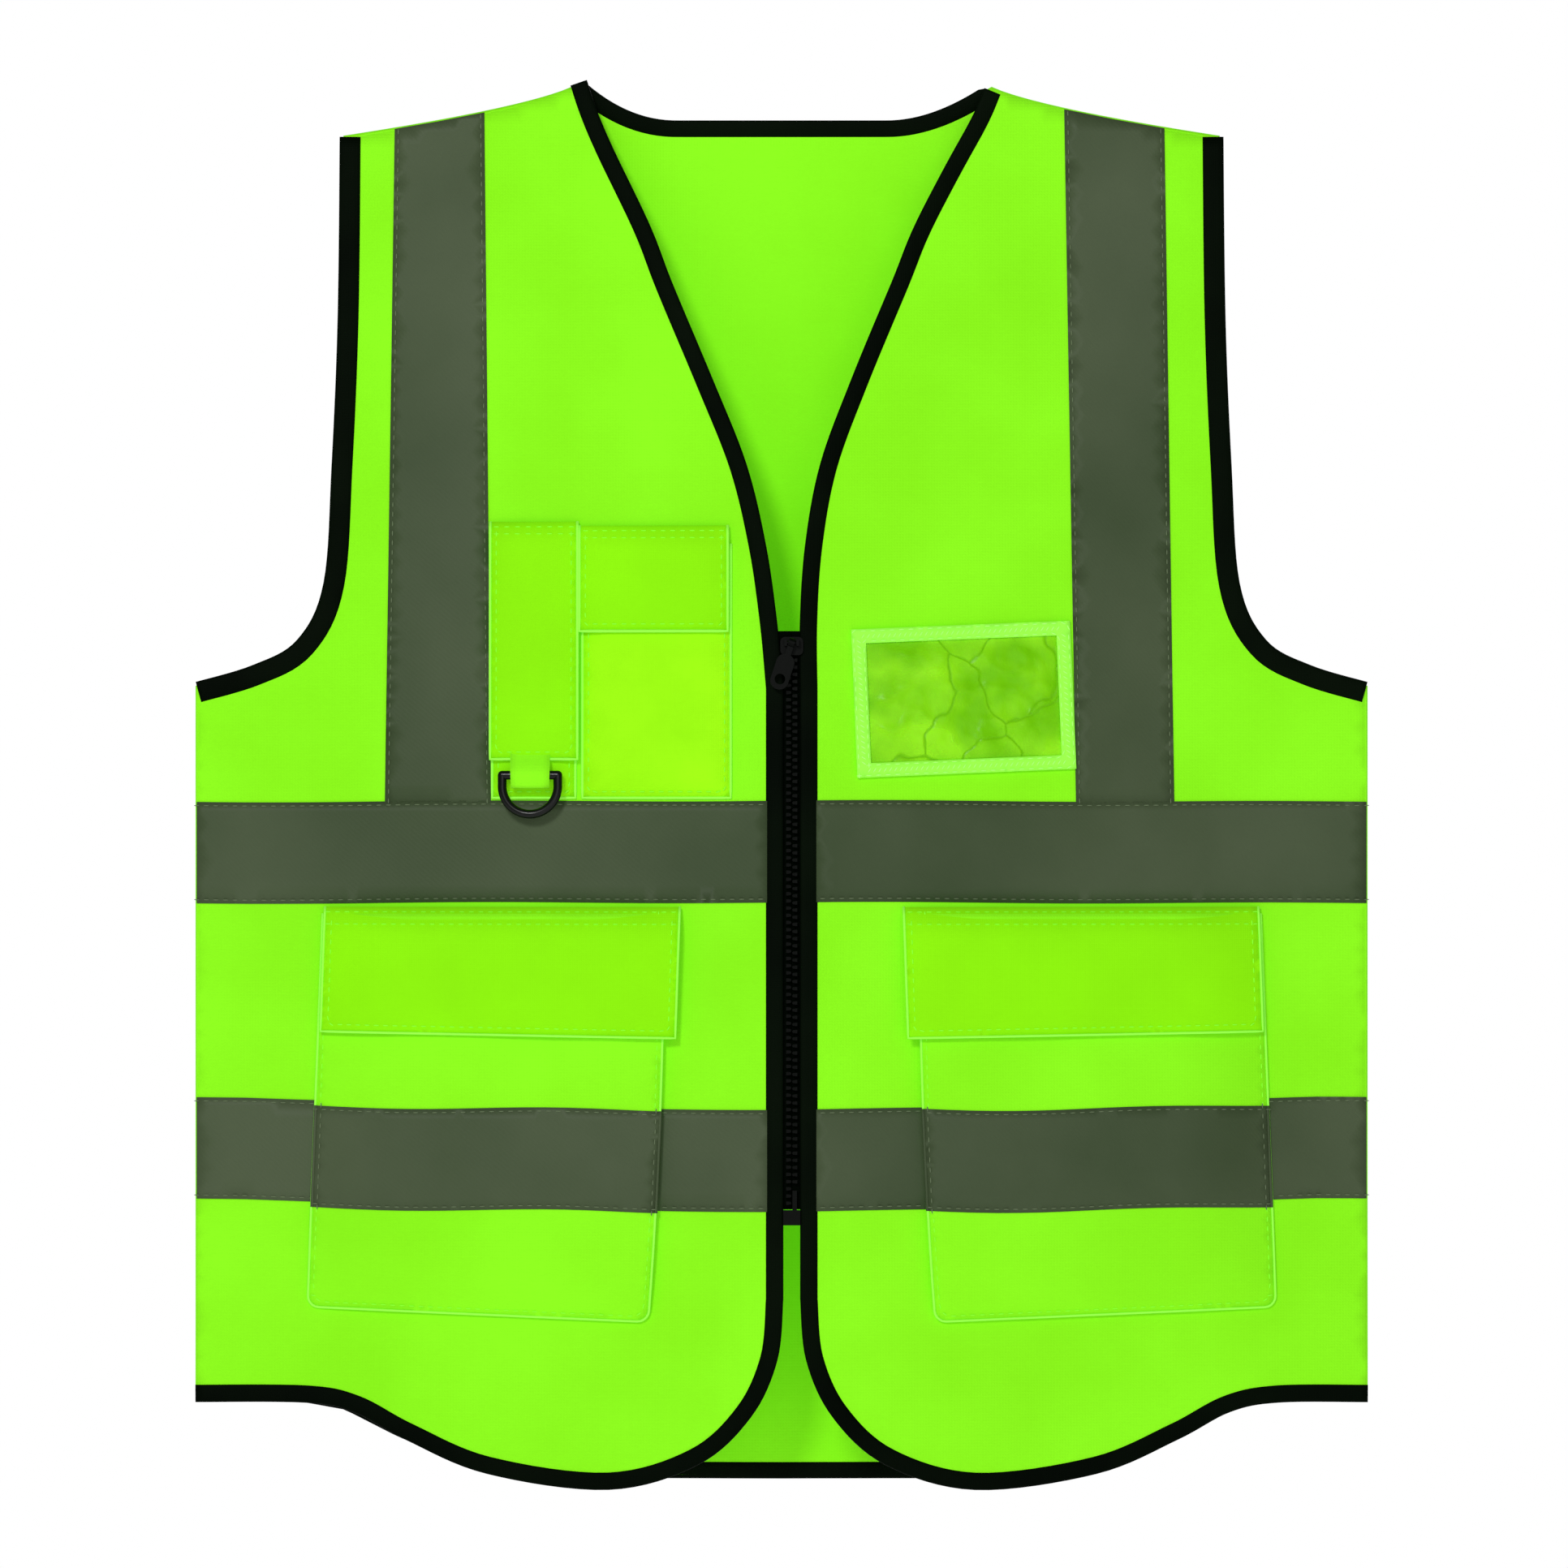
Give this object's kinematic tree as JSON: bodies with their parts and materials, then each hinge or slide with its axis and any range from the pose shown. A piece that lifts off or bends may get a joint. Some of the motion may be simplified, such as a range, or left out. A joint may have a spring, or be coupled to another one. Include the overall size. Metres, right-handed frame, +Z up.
{
  "type": "high visibility vest",
  "caption": "High visibility vest in lime cloth with a front zip, reflective tape bands, flapped pockets, a card window and a D ring.",
  "frame": {"origin": "midway between the neck ends of the two shoulder lines, where a wearer or a hanger carries the vest", "axes": "+Z up, +X to the right as seen from the front (the wearer's left), +Y to the back"},
  "size_m": [0.578, 0.0691, 0.695],
  "materials": {
    "shell_cloth": "fluorescent lime knitted polyester, matt",
    "flap_cloth": "fluorescent lime woven polyester, matt",
    "card_frame": "fluorescent lime coated cloth, semi-matt",
    "hook_loop": "lime hook and loop fastener",
    "reflective_tape": "retroreflective glass bead tape, grey",
    "binding": "black polyester binding, matt",
    "zip_cloth": "black woven zip tape",
    "zip_plastic": "black moulded acetal",
    "ring_metal": "black painted steel wire",
    "clear_vinyl": "clear flexible PVC film"
  },
  "bodies": {
    "body": {"back_panel": "shell_cloth", "side_panel_left": "shell_cloth", "side_panel_right": "shell_cloth", "back_neck_binding": "binding", "back_hem_binding": "binding", "armhole_binding_left": "binding", "armhole_binding_right": "binding", "back_shoulder_tape_left": "reflective_tape", "back_shoulder_tape_right": "reflective_tape", "back_chest_tape": "reflective_tape", "back_waist_tape": "reflective_tape", "side_shoulder_tape_left": "reflective_tape", "side_shoulder_tape_right": "reflective_tape", "side_tape_ends_left": "reflective_tape", "side_tape_ends_right": "reflective_tape"},
    "front_left": {"front_panel_left": "shell_cloth", "front_binding_left": "binding", "shoulder_tape_left": "reflective_tape", "chest_tape_left": "reflective_tape", "waist_tape_left": "reflective_tape", "zip_tape_left": "zip_cloth", "zip_teeth_left": "zip_plastic", "pocket_gusset_left": "shell_cloth", "pocket_front_left": "shell_cloth", "pocket_tape_left": "reflective_tape", "pocket_hook_patch_left": "hook_loop", "flap_seam_left": "flap_cloth", "retaining_box": "zip_plastic", "pen_pocket": "shell_cloth", "phone_pocket": "shell_cloth", "phone_hook_patch": "hook_loop", "ring_tab": "flap_cloth"},
    "front_right": {"front_panel_right": "shell_cloth", "front_binding_right": "binding", "shoulder_tape_right": "reflective_tape", "chest_tape_right": "reflective_tape", "waist_tape_right": "reflective_tape", "zip_tape_right": "zip_cloth", "zip_teeth_right": "zip_plastic", "pocket_gusset_right": "shell_cloth", "pocket_front_right": "shell_cloth", "pocket_tape_right": "reflective_tape", "pocket_hook_patch_right": "hook_loop", "flap_seam_right": "flap_cloth", "insertion_pin": "zip_plastic", "id_frame": "card_frame", "id_window": "clear_vinyl"},
    "slider": {"slider": "zip_plastic"},
    "pull_tab": {"pull_tab": "zip_plastic"},
    "pocket_flap_left": {"pocket_flap_left": "flap_cloth", "pocket_loop_patch_left": "hook_loop"},
    "pocket_flap_right": {"pocket_flap_right": "flap_cloth", "pocket_loop_patch_right": "hook_loop"},
    "pen_flap": {"pen_flap": "flap_cloth"},
    "phone_flap": {"phone_flap": "flap_cloth", "phone_loop_patch": "hook_loop"},
    "d_ring": {"d_ring": "ring_metal"}
  },
  "joints": [
    {"name": "front_right_open", "type": "hinge", "parent": "body", "child": "front_right", "pos_m": [0.115, -0.0015, -0.005], "axis": [-0.294, 0, 0.9558], "range_deg": [0, 75]},
    {"name": "front_left_open", "type": "hinge", "parent": "body", "child": "front_left", "pos_m": [-0.105, -0.0015, -0.005], "axis": [-0.294, 0, -0.9558], "range_deg": [0, 75]},
    {"name": "slider_travel", "type": "slide", "parent": "front_left", "child": "slider", "axis": [0, -0.0361, -0.9993], "range_m": [0, 0.27]},
    {"name": "pull_swing", "type": "hinge", "parent": "slider", "child": "pull_tab", "pos_m": [0.005, -0.02875, -0.2778], "axis": [-1, 0, 0], "range_deg": [0, 170]},
    {"name": "pocket_flap_left_lift", "type": "hinge", "parent": "front_left", "child": "pocket_flap_left", "pos_m": [-0.13889, -0.02313, -0.4102], "axis": [-0.9932, 0.1165, -0.0021], "range_deg": [0, 120]},
    {"name": "pocket_flap_right_lift", "type": "hinge", "parent": "front_right", "child": "pocket_flap_right", "pos_m": [0.14889, -0.02313, -0.4102], "axis": [-0.9932, -0.1165, 0.0021], "range_deg": [0, 120]},
    {"name": "pen_flap_lift", "type": "hinge", "parent": "front_left", "child": "pen_flap", "pos_m": [-0.12266, -0.01537, -0.2206], "axis": [-0.9932, 0.1165, -0.0021], "range_deg": [0, 150]},
    {"name": "phone_flap_lift", "type": "hinge", "parent": "front_left", "child": "phone_flap", "pos_m": [-0.0637, -0.02236, -0.22259], "axis": [-0.9932, 0.1165, -0.0021], "range_deg": [0, 150]},
    {"name": "d_ring_swing", "type": "hinge", "parent": "front_left", "child": "d_ring", "pos_m": [-0.12369, -0.02087, -0.34284], "axis": [-0.9932, 0.1165, -0.0021], "range_deg": [0, 150]}
  ],
  "couplings": [
    {"joint": "front_left_open", "follows": "front_right_open", "ratio": 1}
  ]
}
